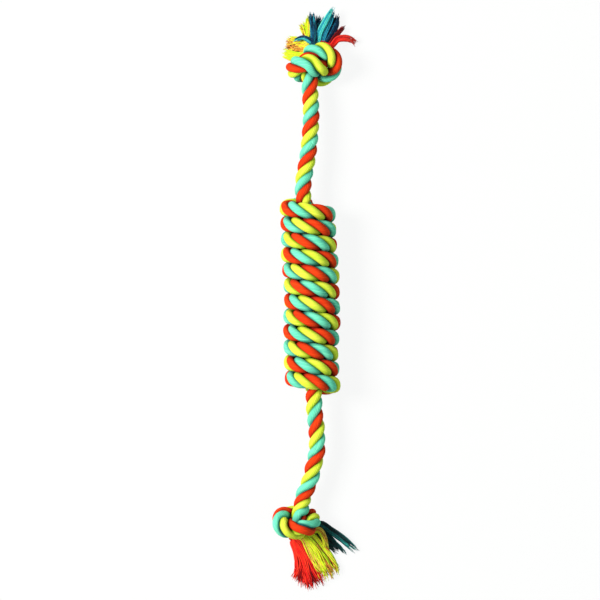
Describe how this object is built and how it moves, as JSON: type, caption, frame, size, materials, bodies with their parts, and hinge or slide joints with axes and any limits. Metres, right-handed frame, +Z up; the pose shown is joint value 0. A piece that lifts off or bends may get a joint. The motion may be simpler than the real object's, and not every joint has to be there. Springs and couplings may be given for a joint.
{
  "type": "rope dog toy",
  "caption": "Rope tug toy for dogs: a multicolour cotton rope wound round itself into a barrel grip, with a tight overhand knot and frayed tufts at each end.",
  "frame": {"origin": "middle of the barrel's underside, on the flat where its middle turn rests on the floor", "axes": "+Y along the barrel towards the upper knot, +Z up from the floor, +X to the right seen from above"},
  "size_m": [0.069, 0.413, 0.0383],
  "materials": {
    "rope_red": "matt cotton yarn",
    "rope_yellow": "matt cotton yarn",
    "rope_turquoise": "matt cotton yarn"
  },
  "bodies": {
    "barrel": {"winding": "rope_turquoise", "upper_core_run": "rope_turquoise", "lower_core_run": "rope_turquoise"},
    "upper_tail": {"upper_tail": "rope_yellow"},
    "upper_knot": {"upper_knot": "rope_red"},
    "upper_yellow_side": {"upper_yellow_side": "rope_yellow"},
    "upper_yellow_top": {"upper_yellow_top": "rope_yellow"},
    "upper_blue_top": {"upper_blue_top": "rope_turquoise"},
    "upper_blue_side": {"upper_blue_side": "rope_turquoise"},
    "upper_red_top": {"upper_red_top": "rope_red"},
    "upper_red_side": {"upper_red_side": "rope_red"},
    "lower_tail": {"lower_tail": "rope_yellow"},
    "lower_knot": {"lower_knot": "rope_red"},
    "lower_teal_side": {"lower_teal_side": "rope_turquoise"},
    "lower_teal_top": {"lower_teal_top": "rope_turquoise"},
    "lower_yellow_end": {"lower_yellow_end": "rope_yellow"},
    "lower_red_end": {"lower_red_end": "rope_red"}
  },
  "joints": [
    {"name": "upper_tail_swing", "type": "hinge", "parent": "barrel", "child": "upper_tail", "pos_m": [-0.002, 0.08655, 0.01903], "axis": [0, 0, 1], "range_deg": [-40, 40]},
    {"name": "upper_knot_lift", "type": "hinge", "parent": "upper_tail", "child": "upper_knot", "pos_m": [0.00363, 0.12802, 0.01638], "axis": [1, 0, 0], "range_deg": [-40, 40]},
    {"name": "upper_yellow_side_flop", "type": "hinge", "parent": "upper_knot", "child": "upper_yellow_side", "pos_m": [0.00166, 0.17765, 0.01032], "axis": [-0.1132, 0.9936, 0], "range_deg": [-3, 30]},
    {"name": "upper_yellow_top_flop", "type": "hinge", "parent": "upper_knot", "child": "upper_yellow_top", "pos_m": [0.00166, 0.17765, 0.00612], "axis": [0.9977, 0.068, 0], "range_deg": [-30, 3]},
    {"name": "upper_blue_top_flop", "type": "hinge", "parent": "upper_knot", "child": "upper_blue_top", "pos_m": [0.00571, 0.17908, 0.01052], "axis": [0.9932, -0.1167, 0], "range_deg": [-3, 35]},
    {"name": "upper_blue_side_flop", "type": "hinge", "parent": "upper_knot", "child": "upper_blue_side", "pos_m": [0.00571, 0.17908, 0.00592], "axis": [0.8358, -0.549, 0], "range_deg": [-30, 3]},
    {"name": "upper_red_top_flop", "type": "hinge", "parent": "upper_knot", "child": "upper_red_top", "pos_m": [0.01024, 0.18068, 0.01052], "axis": [0.4726, -0.8813, 0], "range_deg": [-3, 35]},
    {"name": "upper_red_side_flop", "type": "hinge", "parent": "upper_knot", "child": "upper_red_side", "pos_m": [0.01024, 0.18068, 0.00592], "axis": [-0.1097, -0.994, 0], "range_deg": [-30, 3]},
    {"name": "lower_tail_swing", "type": "hinge", "parent": "barrel", "child": "lower_tail", "pos_m": [0.00175, -0.0866, 0.0189], "axis": [0, 0, 1], "range_deg": [-40, 40]},
    {"name": "lower_knot_lift", "type": "hinge", "parent": "lower_tail", "child": "lower_knot", "pos_m": [-0.00235, -0.12786, 0.01587], "axis": [-1, 0, 0], "range_deg": [-40, 40]},
    {"name": "lower_teal_side_flop", "type": "hinge", "parent": "lower_knot", "child": "lower_teal_side", "pos_m": [-0.00678, -0.16802, 0.00684], "axis": [-0.3827, -0.9239, 0], "range_deg": [-3, 30]},
    {"name": "lower_teal_top_flop", "type": "hinge", "parent": "lower_knot", "child": "lower_teal_top", "pos_m": [-0.00678, -0.16802, 0.00264], "axis": [-0.5344, -0.8453, 0], "range_deg": [-30, 3]},
    {"name": "lower_yellow_end_flop", "type": "hinge", "parent": "lower_knot", "child": "lower_yellow_end", "pos_m": [-0.00985, -0.17102, 0.00684], "axis": [-0.7912, -0.6115, 0], "range_deg": [-3, 35]},
    {"name": "lower_red_end_flop", "type": "hinge", "parent": "lower_knot", "child": "lower_red_end", "pos_m": [-0.01322, -0.17459, 0.00324], "axis": [-0.9655, -0.2605, 0], "range_deg": [-30, 20]}
  ]
}
